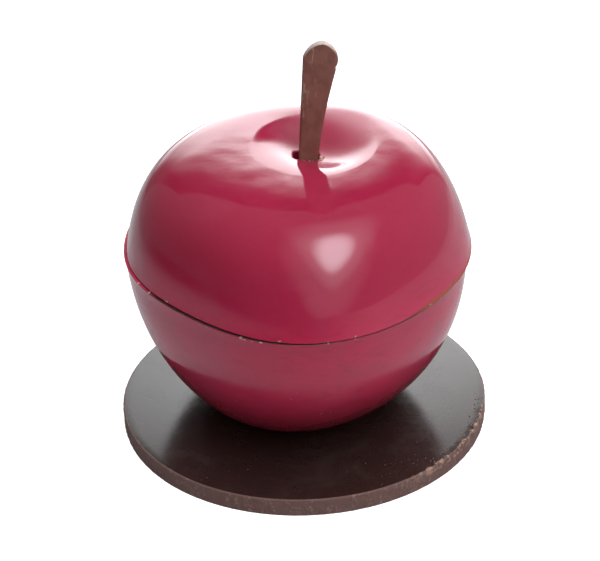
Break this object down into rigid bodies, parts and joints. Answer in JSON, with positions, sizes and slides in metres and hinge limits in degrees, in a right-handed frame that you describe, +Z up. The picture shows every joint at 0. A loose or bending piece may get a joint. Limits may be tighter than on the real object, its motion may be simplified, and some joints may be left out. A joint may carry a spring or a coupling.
{
  "type": "moulded chocolate fruit on a chocolate disc",
  "caption": "Glossy raspberry-red moulded chocolate apple with a flat milk chocolate stem, standing on a dark chocolate disc.",
  "frame": {"origin": "centre of the disc's underside", "axes": "+Z up, +X to the fruit's right seen from the front, +Y to the back"},
  "size_m": [0.08, 0.08, 0.0852],
  "materials": {
    "dark_chocolate": "polished dark chocolate on top, matte where it was cut",
    "raspberry_skin": "high-gloss coloured cocoa butter over chocolate, with faint cloudy smudges",
    "milk_chocolate": "satin milk chocolate with dusty worn edges"
  },
  "bodies": {
    "root": {"base_disc": "dark_chocolate", "apple_lower": "raspberry_skin", "apple_upper": "raspberry_skin", "stem": "milk_chocolate"}
  },
  "joints": []
}
